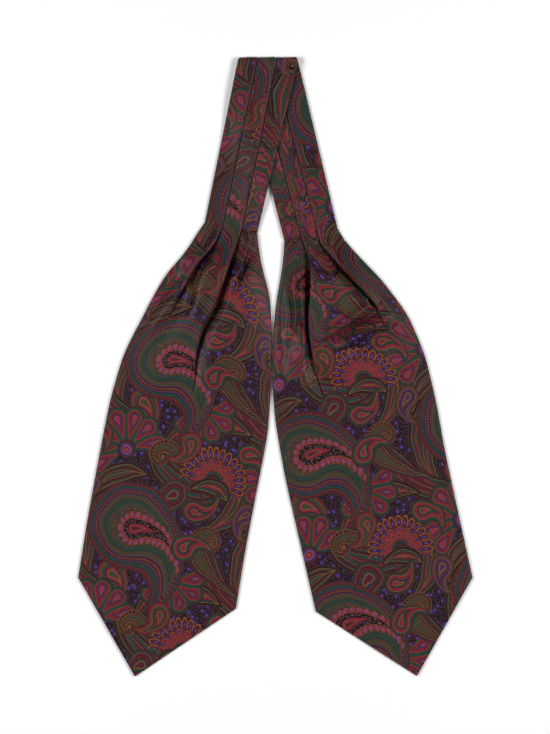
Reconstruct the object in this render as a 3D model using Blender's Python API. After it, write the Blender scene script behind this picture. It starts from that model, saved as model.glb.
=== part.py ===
"""A silk day cravat, laid flat, with its pleated neckband folded over at the nape.

X runs across the cravat, +Y from the blade tips to the nape fold, and Z up from the surface
that it lies on. Each half is a pleated neckband half and a wide pointed blade. A blade is a
front panel over a flat back panel of the same cloth, gathered into the neckband's pleats.
The left neckband half lies over the right one and turns round it at the nape.

Lengths are millimetres here, and MM turns them into Blender's metres. In a blade's own frame
"along" runs from the neck seam to the tip, and "offset" is positive towards the inner edge.
"""

import math
from collections import namedtuple

import bmesh
import bpy
import numpy as np

MM = 0.001

# Cloth layers
SEAM_GAP = 0.3
BACK_THICKNESS = 1.0
FRONT_THICKNESS = 1.1
FRONT_BOTTOM = BACK_THICKNESS + SEAM_GAP
FLAT_TOP = FRONT_BOTTOM + FRONT_THICKNESS
EDGE_ROLL_WIDTH = 1.4
EDGE_ROLL_DROP = 0.5

# Pleats: each stripe of the neckband rises to its folded lip, then drops under the next one
PLEAT_STEP = 1.0
PLEAT_RAMP_WIDTH = 18.0
BAND_LOW = FLAT_TOP
BAND_LIP = BAND_LOW + PLEAT_STEP
CREASE_HALF_WIDTH = 0.6
TROUGH_SPREAD = 9.0
TROUGH_UNDERCUT = 7.0
EDGE_LIP_REACH = 45.0
ARCH_POWER = 2.6

# Nape fold: the left half turns round the right half's end
FOLD_CENTRE_X = -6.9
FOLD_WIDTH = 58.5
FOLD_TOP_Y = 300.5
FOLD_HEIGHT = 2 * BAND_LIP + SEAM_GAP
FOLD_RADIUS = FOLD_HEIGHT / 2
FOLD_AXIS_Y = FOLD_TOP_Y - FOLD_RADIUS
FOLD_CORNER_INSET = 1.0
FOLD_STEPS = 8

# Left half's drape over the right half's outline
DRAPE_REACH = 32.0
DRAPE_CLEARANCE = 4.0
COME_DOWN_SHARE = 0.27
FLAT_NEAR_FOLD_SHARE = 0.45

# Grid sizes
FINE_ROW_LENGTH = 5.0
GATHER_LENGTH = 170.0
CORNER_LENGTH = 360.0
COARSE_ROWS = 8
END_BEND_POWER = 1.5
BACK_ROW_LENGTH = 15.0
OUTER_COLUMNS = 9
MIDDLE_COLUMNS = 8
INNER_COLUMNS = 8
BAND_STRIPE_COLUMNS = 3
LEFT_BAND_ROWS = 16
RIGHT_BAND_ROWS = 6

Outline = namedtuple("Outline", "along outer inner")
Swell = namedtuple("Swell", "along height")
Pleat = namedtuple("Pleat", "along offset lip trough")
Fold = namedtuple("Fold", "rise spread path")
Half = namedtuple(
    "Half",
    "name side neck lean outline corner_outer corner_inner tip pleats folds fold_shares",
)

# The gathered cloth stands proud of the flat panel below the neck seam
SWELL = [
    Swell(0, 0.0),
    Swell(20, 3.0),
    Swell(45, 5.4),
    Swell(80, 4.6),
    Swell(120, 2.6),
    Swell(160, 0.9),
    Swell(190, 0.0),
    Swell(400, 0.0),
]

LEFT = Half(
    name="left",
    side=-1,
    neck=(-42.1, 135.0),
    lean=11.5,
    outline=[
        Outline(0, 26.5, 25.5),
        Outline(10, 30.8, 28.6),
        Outline(30, 38.5, 36.0),
        Outline(60, 54.2, 50.0),
        Outline(100, 66.8, 60.2),
        Outline(150, 79.0, 69.2),
        Outline(200, 82.2, 74.4),
        Outline(290, 81.0, 75.2),
        Outline(362, 78.2, 77.8),
    ],
    corner_outer=362.0,
    corner_inner=361.0,
    tip=(445.2, -5.2),
    pleats=[
        [
            Pleat(0, -9.5, 1.0, 0.0),
            Pleat(15, -12.8, 1.5, 0.8),
            Pleat(27, -17.8, 2.0, 2.0),
            Pleat(40, -25.5, 2.0, 2.6),
            Pleat(60, -32.5, 1.4, 2.2),
            Pleat(80, -38.5, 0.7, 1.2),
            Pleat(105, -43.0, 0.0, 0.0),
            Pleat(362, -37.7, 0.0, 0.0),
        ],
        [
            Pleat(0, 9.2, 1.0, 0.0),
            Pleat(22, 6.4, 1.7, 1.4),
            Pleat(55, 2.1, 2.2, 3.2),
            Pleat(80, -1.6, 2.1, 3.2),
            Pleat(105, -8.3, 1.5, 2.2),
            Pleat(125, -9.6, 1.0, 1.4),
            Pleat(145, -7.5, 0.5, 0.7),
            Pleat(168, -4.0, 0.0, 0.0),
            Pleat(362, 30.3, 0.0, 0.0),
        ],
    ],
    folds=[
        Fold(1.3, 5.0, [(58, -29), (84, -43), (108, -56)]),
        Fold(-1.4, 7.0, [(62, -22), (92, -30), (122, -48)]),
        Fold(-1.1, 4.0, [(3, 23.4), (18, 23.3), (42, 20.3), (66, 14.5)]),
    ],
    fold_shares=(0.31, 0.63),
)

RIGHT = Half(
    name="right",
    side=1,
    neck=(34.4, 128.2),
    lean=13.0,
    outline=[
        Outline(0, 27.0, 26.0),
        Outline(10, 30.0, 29.0),
        Outline(25, 37.8, 34.2),
        Outline(65, 60.5, 50.2),
        Outline(105, 76.0, 62.2),
        Outline(150, 82.2, 71.4),
        Outline(175, 82.4, 74.3),
        Outline(240, 79.9, 77.0),
        Outline(359.2, 78.4, 77.2),
    ],
    corner_outer=359.2,
    corner_inner=357.2,
    tip=(440.2, -4.4),
    pleats=[
        [
            Pleat(0, -7.8, 1.0, 0.0),
            Pleat(9, -8.2, 1.2, 0.5),
            Pleat(23, -15.0, 1.7, 1.6),
            Pleat(40, -23.7, 2.1, 2.8),
            Pleat(55, -32.4, 1.9, 2.6),
            Pleat(70, -41.0, 1.4, 1.8),
            Pleat(84, -47.5, 0.8, 1.0),
            Pleat(104, -50.0, 0.0, 0.0),
            Pleat(360, -36.1, 0.0, 0.0),
        ],
        [
            Pleat(0, 8.7, 1.0, 0.0),
            Pleat(11, 7.0, 1.4, 0.8),
            Pleat(22, 6.0, 1.9, 1.6),
            Pleat(40, 8.8, 2.1, 2.8),
            Pleat(58, 13.5, 2.0, 3.0),
            Pleat(78, 19.6, 1.7, 2.6),
            Pleat(98, 22.9, 1.2, 2.0),
            Pleat(125, 24.6, 0.8, 1.2),
            Pleat(148, 22.5, 0.3, 0.5),
            Pleat(168, 21.0, 0.0, 0.0),
            Pleat(360, 31.9, 0.0, 0.0),
        ],
    ],
    folds=[
        Fold(-1.9, 5.5, [(10, 21.4), (25, 23.7), (48, 29.6), (70, 31), (84, 35), (112, 49)]),
        Fold(1.2, 3.6, [(30, 16), (60, 22.0), (84, 25.5), (110, 31), (134, 38)]),
        Fold(-1.5, 6.0, [(106, -62), (112, -44), (117, -28), (121, -10)]),
        Fold(-1.2, 7.0, [(112, 30), (134, 26), (148, 12), (152, -8)]),
    ],
    fold_shares=(0.405, 0.70),
)


def through(rows, column, along):
    """The smooth curve through one column of a table, read at any distance along."""
    x = np.array([row.along for row in rows], float)
    y = np.array([getattr(row, column) for row in rows], float)
    step = np.diff(y) / np.diff(x)
    slope = np.empty_like(y)
    slope[0], slope[-1] = step[0], step[-1]
    before, after = step[:-1], step[1:]
    total = np.where(before + after == 0, 1.0, before + after)
    slope[1:-1] = np.where(before * after > 0, 2 * before * after / total, 0.0)
    along = np.clip(along, x[0], x[-1])
    i = np.clip(np.searchsorted(x, along, side="right") - 1, 0, len(x) - 2)
    width = x[i + 1] - x[i]
    u = (along - x[i]) / width
    start = (1 + 2 * u) * (1 - u) ** 2 * y[i] + u * (1 - u) ** 2 * width * slope[i]
    end = u * u * (3 - 2 * u) * y[i + 1] - u * u * (1 - u) * width * slope[i + 1]
    return start + end


def smooth_step(x):
    x = np.clip(x, 0.0, 1.0)
    return x * x * (3 - 2 * x)


def edges(half, along):
    """Offsets of a blade's outer and inner edges."""
    outer = -through(half.outline, "outer", along)
    inner = through(half.outline, "inner", along)
    return outer, inner


def fold_height(fold, along, offset):
    """A soft ridge or trough round a path, fading out at both of its ends."""
    path = np.array(fold.path, float)
    lengths = np.linalg.norm(np.diff(path, axis=0), axis=1)
    total = lengths.sum()
    nearest = np.full(np.shape(along), 1e9)
    share = np.zeros(np.shape(along))
    done = 0.0
    for (a0, b0), (a1, b1), length in zip(path[:-1], path[1:], lengths):
        da, db = a1 - a0, b1 - b0
        u = np.clip(((along - a0) * da + (offset - b0) * db) / length**2, 0, 1)
        distance = np.hypot(along - a0 - u * da, offset - b0 - u * db)
        closer = distance < nearest
        nearest = np.where(closer, distance, nearest)
        share = np.where(closer, (done + u * length) / total, share)
        done += length
    fade = np.sqrt(np.clip(4 * share * (1 - share), 0, 1))
    return fold.rise * fade * np.exp(-((nearest / fold.spread) ** 2))


def swell_height(half, along, offset):
    """The gathered cloth's rise, with the soft folds, before any pleat's trough."""
    outer, inner = edges(half, along)
    across = (2 * offset - outer - inner) / (inner - outer)
    arch = 1 - np.abs(np.clip(across, -1, 1)) ** ARCH_POWER
    height = through(SWELL, "height", along) * arch
    for fold in half.folds:
        height = height + fold_height(fold, along, offset) * smooth_step(4 * arch)
    return height


def panel_heights(half, along, offset, past_crease):
    """Top and bottom of a front panel. past_crease says, for each pleat, which points lie
    beyond its crease, on the low side."""
    rise = swell_height(half, along, offset)
    top_drop = np.zeros(np.shape(along))
    bottom_drop = np.zeros(np.shape(along))
    lips = np.zeros(np.shape(along))
    for pleat, past in zip(half.pleats, past_crease):
        beyond = offset - through(pleat, "offset", along)
        trough = np.maximum(through(pleat, "trough", along), 0)
        falling = np.exp(-((np.maximum(beyond, 0) / TROUGH_SPREAD) ** 2))
        rising = smooth_step(1 + beyond / TROUGH_UNDERCUT)
        top_drop += np.where(past, trough * falling, 0)
        bottom_drop += trough * np.where(past, falling, rising)
        ramp = np.clip(1 + beyond / PLEAT_RAMP_WIDTH, 0, 1) ** 2
        lip = np.maximum(through(pleat, "lip", along), 0)
        lips += np.where(past, 0, lip * ramp)
    inner = edges(half, along)[1]
    edge_ramp = np.clip(1 + (offset - inner) / PLEAT_RAMP_WIDTH, 0, 1) ** 2
    lips += PLEAT_STEP * edge_ramp * smooth_step(1 - along / EDGE_LIP_REACH)
    top = FLAT_TOP + np.maximum(rise - top_drop, 0) + lips
    bottom = FRONT_BOTTOM + np.maximum(rise - bottom_drop, 0)
    return top, bottom


def own_frame(half, along, offset):
    """X and Y in a blade's own frame, which has its origin at the neck seam."""
    return -half.side * offset, -along


def row_frame(half, along, offset):
    """X and Y, in the whole cravat's frame, of a place on a blade."""
    lean = half.side * math.radians(half.lean)
    x, y = own_frame(half, along, offset)
    return (
        half.neck[0] + x * math.cos(lean) - y * math.sin(lean),
        half.neck[1] + x * math.sin(lean) + y * math.cos(lean),
    )


def place_blade(obj, half):
    obj.location = (half.neck[0] * MM, half.neck[1] * MM, 0)
    obj.rotation_euler = (0, 0, half.side * math.radians(half.lean))


def grid_solid(name, top, bottom):
    """One closed wall between two grids of points, top and bottom, each rows x columns x 3."""
    rows, columns = top.shape[:2]
    mesh = bmesh.new()
    upper = [[mesh.verts.new(top[i, j] * MM) for j in range(columns)] for i in range(rows)]
    lower = [[mesh.verts.new(bottom[i, j] * MM) for j in range(columns)] for i in range(rows)]
    for i in range(rows - 1):
        for j in range(columns - 1):
            for level in (upper, lower):
                mesh.faces.new(
                    (level[i][j], level[i][j + 1], level[i + 1][j + 1], level[i + 1][j])
                )
    rim = [(0, j) for j in range(columns)]
    rim += [(i, columns - 1) for i in range(1, rows)]
    rim += [(rows - 1, j) for j in range(columns - 2, -1, -1)]
    rim += [(i, 0) for i in range(rows - 2, 0, -1)]
    for (i, j), (k, m) in zip(rim, rim[1:] + rim[:1]):
        mesh.faces.new((upper[i][j], upper[k][m], lower[k][m], lower[i][j]))
    return finished(name, mesh)


def outline_plate(name, outline, bottom, top):
    """A flat plate between two heights, from its outline in X and Y."""
    mesh = bmesh.new()
    upper = [mesh.verts.new((x * MM, y * MM, top * MM)) for x, y in outline]
    lower = [mesh.verts.new((x * MM, y * MM, bottom * MM)) for x, y in outline]
    mesh.faces.new(upper)
    mesh.faces.new(lower)
    for i in range(len(outline)):
        j = (i + 1) % len(outline)
        mesh.faces.new((upper[i], upper[j], lower[j], lower[i]))
    return finished(name, mesh)


def finished(name, mesh):
    """The silk object of a bmesh, its faces triangulated and pointing out."""
    bmesh.ops.triangulate(mesh, faces=mesh.faces)
    bmesh.ops.recalc_face_normals(mesh, faces=mesh.faces)
    data = bpy.data.meshes.new(name)
    mesh.to_mesh(data)
    mesh.free()
    data.shade_smooth()
    data.set_sharp_from_angle(angle=math.radians(40))
    data.materials.append(silk_material(name))
    obj = bpy.data.objects.new(name, data)
    bpy.context.scene.collection.objects.link(obj)
    return obj


def stripe_columns(counts):
    """Shares across each of the three stripes between an edge and a crease, as (stripe, share)."""
    columns = []
    for stripe, count in enumerate(counts):
        columns += [(stripe, i / count) for i in range(count + 1)]
    return columns


def stripe_bounds(half, along):
    """Offsets between which each of the three stripes lies at one distance along."""
    outer, inner = edges(half, along)
    first = through(half.pleats[0], "offset", along)
    second = through(half.pleats[1], "offset", along)
    gap = CREASE_HALF_WIDTH
    return [(outer, first - gap), (first + gap, second - gap), (second + gap, inner)]


def bottom_reach(half, offset):
    """Distance along at which a line at this offset meets the pointed end."""
    outer, inner = -half.outline[-1].outer, half.outline[-1].inner
    points = [(outer, half.corner_outer), (half.tip[1], half.tip[0]), (inner, half.corner_inner)]
    return np.interp(offset, [p[0] for p in points], [p[1] for p in points])


def row_stations():
    """Rows from the neck seam to the corners: close together through the gathers, and with
    the last one for the rolled edge."""
    fine = np.arange(0.0, GATHER_LENGTH, FINE_ROW_LENGTH)
    coarse = np.linspace(GATHER_LENGTH, CORNER_LENGTH - EDGE_ROLL_WIDTH, COARSE_ROWS + 1)
    return np.concatenate([fine, coarse, [CORNER_LENGTH]])


def blade_grid(half):
    """Along and offset for every point of a blade's grid, and its columns. The lower rows
    bend into the pointed end, and the column nearest to the tip runs to it."""
    stations = row_stations()
    columns = stripe_columns((OUTER_COLUMNS, MIDDLE_COLUMNS, INNER_COLUMNS))
    last = stations[-1]
    along = np.zeros((len(stations), len(columns)))
    offset = np.zeros_like(along)
    for i, station in enumerate(stations):
        bounds = stripe_bounds(half, station)
        for j, (stripe, share) in enumerate(columns):
            low, high = bounds[stripe]
            offset[i, j] = low + (high - low) * share
        offset[i, 1] = offset[i, 0] + EDGE_ROLL_WIDTH
        offset[i, -2] = offset[i, -1] - EDGE_ROLL_WIDTH
    bend = np.clip((stations - GATHER_LENGTH) / (last - GATHER_LENGTH), 0, 1) ** END_BEND_POWER
    middle = np.argmin(np.abs(offset[-1] - half.tip[1]))
    offset[:, middle] += (half.tip[1] - offset[-1, middle]) * bend
    for j in range(len(columns)):
        along[:, j] = stations + (bottom_reach(half, offset[-1, j]) - last) * bend
    return along, offset, columns


def roll_edges(top, along, offset, half):
    """Rounds a panel's long edges and pointed end over, as turned cloth is."""
    outer, inner = edges(half, along)
    sides = np.minimum(offset - outer, inner - offset)
    end = bottom_reach(half, offset) - along
    from_edge = np.clip(np.minimum(sides, end) / EDGE_ROLL_WIDTH, 0, 1)
    return top - EDGE_ROLL_DROP * (1 - from_edge) ** 2


def blade_front(half):
    along, offset, columns = blade_grid(half)
    stripes = np.array([stripe for stripe, _ in columns])
    past = [np.broadcast_to(stripes > k, along.shape) for k in range(2)]
    top, bottom = panel_heights(half, along, offset, past)
    top = roll_edges(top, along, offset, half)
    x, y = own_frame(half, along, offset)
    panel = grid_solid(
        f"{half.name}_blade_front",
        np.stack([x, y, top], axis=2),
        np.stack([x, y, bottom], axis=2),
    )
    place_blade(panel, half)


def blade_back(half):
    """The flat back panel, whose outline is the front's."""
    stations = np.arange(0.0, CORNER_LENGTH - BACK_ROW_LENGTH, BACK_ROW_LENGTH)
    outer, inner = edges(half, stations)
    side = [(a, b) for a, b in zip(stations, outer)]
    other = [(a, b) for a, b in zip(stations, inner)]
    last = half.outline[-1]
    ring = side + [(half.corner_outer, -last.outer), half.tip, (half.corner_inner, last.inner)]
    ring += other[::-1]
    points = [own_frame(half, a, b) for a, b in ring]
    panel = outline_plate(f"{half.name}_blade_back", points, 0.0, BACK_THICKNESS)
    place_blade(panel, half)


def band_columns(half):
    """For each column of a neckband half: its share across at the neck seam and at the fold,
    and its thickness."""
    outer, inner = -half.outline[0].outer, half.outline[0].inner
    width = inner - outer
    gap = CREASE_HALF_WIDTH / width
    seam = [0.0] + [(pleat[0].offset - outer) / width for pleat in half.pleats] + [1.0]
    fold = [0.0, *half.fold_shares, 1.0]
    columns = []
    for stripe, share in stripe_columns((BAND_STRIPE_COLUMNS,) * 3):
        low_gap = gap if stripe > 0 else 0.0
        high_gap = gap if stripe < 2 else 0.0
        places = []
        for bounds in (seam, fold):
            low, high = bounds[stripe] + low_gap, bounds[stripe + 1] - high_gap
            places.append(low + (high - low) * share)
        thickness = BAND_LOW + PLEAT_STEP * share**2
        if (stripe, share) in ((0, 0.0), (2, 1.0)):
            thickness -= EDGE_ROLL_DROP
        columns.append((places[0], places[1], thickness))
    return np.array(columns)


def band_plan(half, shares, columns):
    """X and Y of a neckband half. Share 0 is the neck seam and share 1 the nape fold's axis."""
    outer, inner = -half.outline[0].outer, half.outline[0].inner
    seam_x, seam_y = row_frame(half, -SEAM_GAP, outer + (inner - outer) * columns[:, 0])
    across = columns[:, 1] if half.side < 0 else 1 - columns[:, 1]
    fold_x = FOLD_CENTRE_X + FOLD_WIDTH * (across - 0.5)
    end_y = FOLD_AXIS_Y if half.side < 0 else FOLD_AXIS_Y - SEAM_GAP
    fold_y = np.full(len(columns), end_y)
    shares = shares[:, None]
    return seam_x + (fold_x - seam_x) * shares, seam_y + (fold_y - seam_y) * shares


def left_band_base(x, y, shares):
    """Underside height of the left neckband half: it lies on the right half, drapes off that
    half's outer outline, and comes down to the surface before the neck seam."""
    seam_x, seam_y = row_frame(RIGHT, 0.0, RIGHT.outline[0].inner)
    fold_x = FOLD_CENTRE_X - FOLD_WIDTH / 2
    run_x, run_y = seam_x - fold_x, seam_y - FOLD_AXIS_Y
    beside = ((y - FOLD_AXIS_Y) * run_x - (x - fold_x) * run_y) / math.hypot(run_x, run_y)
    off_edge = smooth_step((-beside - DRAPE_CLEARANCE) / DRAPE_REACH)
    lying = smooth_step(shares[:, None] / COME_DOWN_SHARE)
    near_fold = smooth_step(1 + (shares[:, None] - 1) / FLAT_NEAR_FOLD_SHARE)
    return (BAND_LIP + SEAM_GAP) * lying * (1 - off_edge * (1 - near_fold))


def neckband_right():
    columns = band_columns(RIGHT)
    shares = np.linspace(0, 1, RIGHT_BAND_ROWS + 1)
    x, y = band_plan(RIGHT, shares, columns)
    top = np.broadcast_to(columns[:, 2], x.shape)
    bottom = np.zeros_like(x)
    grid_solid("neckband_right", np.stack([x, y, top], axis=2), np.stack([x, y, bottom], axis=2))


def neckband_left():
    """The left neckband half with the nape fold's turn at its top."""
    columns = band_columns(LEFT)
    shares = np.linspace(0, 1, LEFT_BAND_ROWS + 1)
    x, y = band_plan(LEFT, shares, columns)
    base = left_band_base(x, y, shares)
    upper = [np.stack([x, y, base + columns[:, 2]], axis=2)]
    lower = [np.stack([x, y, base], axis=2)]
    inner_radius = SEAM_GAP / 2
    for step in range(1, FOLD_STEPS + 1):
        turn = math.pi * step / FOLD_STEPS
        settled = smooth_step(np.array(step / FOLD_STEPS))
        outer_radius = inner_radius + columns[:, 2] * (1 - settled) + BAND_LIP * settled
        inset = FOLD_CORNER_INSET * math.sin(turn)
        fold_x = x[-1] + inset * (1 - 2 * columns[:, 1])
        for rows, radius in ((upper, outer_radius), (lower, np.full(len(columns), inner_radius))):
            height = FOLD_RADIUS + radius * math.cos(turn)
            rows.append(
                np.stack([fold_x, FOLD_AXIS_Y + radius * math.sin(turn), height], axis=1)[None]
            )
    grid_solid("neckband_left", np.concatenate(upper), np.concatenate(lower))


def silk_material(name):
    """Printed silk twill, at the print's average colour, for one piece."""
    material = bpy.data.materials.new(name + "_silk")
    material.use_nodes = True
    shader = material.node_tree.nodes["Principled BSDF"]
    shader.inputs["Base Color"].default_value = (0.13, 0.055, 0.06, 1.0)
    shader.inputs["Roughness"].default_value = 0.5
    shader.inputs["Metallic"].default_value = 0.0
    return material


def main():
    for obj in list(bpy.data.objects):
        bpy.data.objects.remove(obj)
    neckband_left()
    neckband_right()
    for half in (LEFT, RIGHT):
        blade_back(half)
        blade_front(half)


main()
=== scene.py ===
"""A silk day cravat as it looks, in paisley twill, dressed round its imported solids.

The frame is the solids' own: X across the cravat, +Y from the blade tips to the nape fold, and
Z up from the surface that it lies on. Cloth is worked out in millimetres, and MM turns it into
metres. In a blade's own frame "along" runs from the neck seam to the tip, and "offset" is
positive towards the inner edge. Each piece of cloth is a thin shell on its solid's form.
"""

import math
from collections import namedtuple

import bpy
import numpy as np
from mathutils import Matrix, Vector


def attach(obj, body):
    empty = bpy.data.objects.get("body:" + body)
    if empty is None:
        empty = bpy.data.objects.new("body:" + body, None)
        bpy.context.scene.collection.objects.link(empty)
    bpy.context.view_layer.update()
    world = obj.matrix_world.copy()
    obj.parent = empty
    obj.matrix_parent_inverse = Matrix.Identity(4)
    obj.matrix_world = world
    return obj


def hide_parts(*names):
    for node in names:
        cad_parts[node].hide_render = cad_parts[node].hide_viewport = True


MM = 0.001

# The solids' own measures
FLAT_TOP = 2.4
PLEAT_STEP = 1.0
PLEAT_RAMP_WIDTH = 18.0
BAND_LOW = FLAT_TOP
BAND_LIP = BAND_LOW + PLEAT_STEP
TROUGH_SPREAD = 9.0
EDGE_LIP_REACH = 45.0
ARCH_POWER = 2.6
FOLD_CENTRE_X = -6.9
FOLD_WIDTH = 58.5
FOLD_TOP_Y = 300.5
FOLD_GAP = 0.3
FOLD_RADIUS = BAND_LIP + FOLD_GAP / 2
FOLD_AXIS_Y = FOLD_TOP_Y - FOLD_RADIUS
FOLD_CORNER_INSET = 1.0
DRAPE_REACH = 32.0
DRAPE_CLEARANCE = 4.0
COME_DOWN_SHARE = 0.27
FLAT_NEAR_FOLD_SHARE = 0.45
GATHER_LENGTH = 170.0
CORNER_LENGTH = 360.0
END_BEND_POWER = 1.5

# Cloth
CLOTH_THICKNESS = 0.25
SEAM_SPLIT = 0.05
SEAM_PRINT_SHIFT = 47.0
SEAM_SHIFT_WIDTH = 60.0
SEAM_SHIFT_FADE = 30.0
EDGE_ROLL = 1.2
EDGE_SEAM_HEIGHT = 0.6
BACK_ROLL = 1.2
BACK_EDGE_HEIGHT = 0.52
SEAM_DIP = 1.1
SEAM_DIP_LENGTH = 1.2
RIPPLE_HEIGHT = 0.28
RIPPLE_LONG = (17.0, 31.0)
RIPPLE_SHORT = (29.0, 13.0)
RIPPLE_START = 40.0
RIPPLE_FADE = 120.0
LOWEST_DIP = 0.8
LOWEST_LEVEL = 0.7
RIDGE_GAIN = 1.8
RIDGE_GAIN_REACH = 50.0
FOLD_GAIN = 1.7

# Cut pieces: the cut length of each neckband half
LEFT_BAND_CUT_LENGTH = 0.177
RIGHT_BAND_CUT_LENGTH = 0.172

# Stitching and weave
STITCH_CLEARANCE = 2.0
STITCH_PITCH = 2.2
STITCH_LENGTH = 1.5
STITCH_DOWN = 1.6
STITCH_RADIUS = 0.22
STITCH_RINGS = 7
STITCH_SIDES = 8
STITCH_END_ROUND = 0.02
TWILL_PITCH = 0.55
UNEVEN_SPACING = 45.0
FLECK_SPACING = 0.9
DYE_LOWEST = 0.78
DYE_SPREAD = 0.22
ROUGHNESS_LOWEST = 0.39
ROUGHNESS_SPREAD = 0.10

# The print, on the flat cloth
REPEAT_WIDTH = 156.0
REPEAT_LENGTH = 168.0
FLORET_SPACING = 8.5
SPECK_SPACING = 2.7
FINE_SPECK_SPACING = 1.5
FINE_SPECK_STRENGTH = 0.35
DRIFT = 5.0
DRIFT_SPACING = 28.0

# Studio, in metres, with the photograph's frame
CAMERA_HEIGHT = 3.0
SENSOR = 36.0
PHOTO_HEIGHT_PX = 734
MM_PER_PX = 0.97
FLOOR_SIZE = 8.0
FLOOR_CLEARANCE = 0.0002
WALL_LIGHT = 0.07
KEY_LIGHTS = [(-1.95, 0.0, 1.82), (1.95, 0.0, 1.82)]
KEY_LIGHT_SIZE = 1.0
KEY_LIGHT_POWER = 51.0
TOP_LIGHT_PLACE = (0.0, 0.2, 3.4)
TOP_LIGHT_SIZE = 1.6
TOP_LIGHT_POWER = 8.0

# Grid sizes, and the angle in degrees past which an edge stays sharp
SEAM_ROWS = [0.0, 0.5, 1.1]
FINE_FROM = 2.0
FINE_LENGTH = 190.0
FINE_ROWS = 88
COARSE_ROWS = 30
ROLL_STEPS = 4
OUTER_COLUMNS = 36
MIDDLE_COLUMNS = 34
INNER_COLUMNS = 34
BACK_ROWS = 30
BACK_COLUMNS = 16
BAND_SEAM_SHARES = [0.0, 0.003, 0.007]
BAND_FROM_SHARE = 0.012
BAND_ROWS = 44
BAND_STRIPE_COLUMNS = 14
BAND_UNDERSIDE_COLUMNS = 10
TURN_ROWS = 16
SHARP_ANGLE = 65

# The map for baking: a margin, and where its outer and inner sides lie
MAP_MARGIN = 0.005
MAP_WIDTH = 0.99
MAP_OUTER = 0.845
MAP_INNER_FROM = 0.86
MAP_INNER = 0.135

Fold = namedtuple("Fold", "rise spread path")
Half = namedtuple(
    "Half",
    "name side neck lean outline corner_inner tip pleats folds fold_shares print_place",
)
Silk = namedtuple("Silk", "cloth speck near")


def table(columns, *rows):
    """Rows of numbers under named columns."""
    row = namedtuple("Row", columns)
    return [row(*numbers) for numbers in rows]


# Section through a pleat, from its lip down, back under itself, and out as the next stripe.
# beside is from the crease, and grows with the step. height is a share of the step, and
# groove a share of the depth of the narrow groove where the next stripe begins
TUCK = table(
    "beside height groove",
    (-2.0, 1.0, 0.0), (-0.8, 0.98, 0.0), (0.1, 0.90, 0.0), (0.45, 0.70, 0.0),
    (0.5, 0.46, 0.0), (0.2, 0.26, 0.0), (-1.4, 0.17, 0.0), (-2.2, 0.10, 0.0),
    (-1.6, 0.02, 0.3), (0.0, 0.0, 0.9), (0.9, 0.0, 1.0), (2.0, 0.0, 0.0),
)
TUCK_HALF_WIDTH = 2.0
TUCK_FULL_STEP = 0.9
TUCK_GROWTH = 0.06
GROOVE_DEPTH = 1.1

# A deep trough beside each lip, steepest at the crease
SLOT_DEPTH = 2.6
SLOT_SPREAD = 12.0
SLOT_POWER = 1.3

# The gathered cloth stands proud of the flat panel below the neck seam
SWELL = table(
    "along height",
    (0, 0.0), (20, 3.0), (45, 5.4), (80, 4.6), (120, 2.6), (160, 0.9), (190, 0.0),
    (400, 0.0),
)

# The cloth is full width at the blade, and what the pleats hide fades out as they open
FIRST_PLEAT_END = 105.0
FIRST_PLEAT_FADE = 45.0
LAST_PLEAT_END = 168.0
LAST_PLEAT_FADE = 40.0
CLOTH_WIDTH = 160.0
STRAIGHT_FROM = 200.0

# folds are soft ridges, or troughs where the rise is negative, each round a path of places on
# the blade. fold_shares are the pleats' places across the nape fold, and print_place is the
# place on the print where the neck seam meets the outer edge
LEFT = Half(
    name="left",
    side=-1,
    neck=(-42.1, 135.0),
    lean=11.5,
    outline=table(
        "along outer inner",
        (0, 26.5, 25.5), (10, 30.8, 28.6), (30, 38.5, 36.0), (60, 54.2, 50.0),
        (100, 66.8, 60.2), (150, 79.0, 69.2), (200, 82.2, 74.4), (290, 81.0, 75.2),
        (362, 78.2, 77.8),
    ),
    corner_inner=361.0,
    tip=(445.2, -5.2),
    pleats=[
        table(
            "along offset lip trough",
            (0, -9.5, 1.0, 0.0), (15, -12.8, 1.5, 0.8), (27, -17.8, 2.0, 2.0),
            (40, -25.5, 2.0, 2.6), (60, -32.5, 1.4, 2.2), (80, -38.5, 0.7, 1.2),
            (105, -43.0, 0.0, 0.0), (362, -37.7, 0.0, 0.0),
        ),
        table(
            "along offset lip trough",
            (0, 9.2, 1.0, 0.0), (22, 6.4, 1.7, 1.4), (55, 2.1, 2.2, 3.2),
            (80, -1.6, 2.1, 3.2), (105, -8.3, 1.5, 2.2), (125, -9.6, 1.0, 1.4),
            (145, -7.5, 0.5, 0.7), (168, -4.0, 0.0, 0.0), (362, 30.3, 0.0, 0.0),
        ),
    ],
    folds=[
        Fold(1.3, 5.0, [(58, -29), (84, -43), (108, -56)]),
        Fold(-1.4, 7.0, [(62, -22), (92, -30), (122, -48)]),
        Fold(-1.1, 4.0, [(3, 23.4), (18, 23.3), (42, 20.3), (66, 14.5)]),
        Fold(-3.0, 2.0, [(2, 23.6), (18, 23.3), (42, 20.3), (62, 14.5)]),
        Fold(1.0, 4.0, [(14, 17), (34, 15), (54, 11)]),
        Fold(-2.0, 3.4, [(50, -33), (66, -46), (84, -60)]),
        Fold(-2.4, 4.0, [(36, -23), (56, -26), (70, -25.5), (92, -28)]),
        Fold(0.8, 7.0, [(20, -5), (50, -14), (90, -20)]),
        Fold(-2.4, 6.0, [(40, -36), (66, -49), (84, -58), (104, -62)]),
    ],
    fold_shares=(0.31, 0.63),
    print_place=(2.0, 24.0),
)

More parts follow.
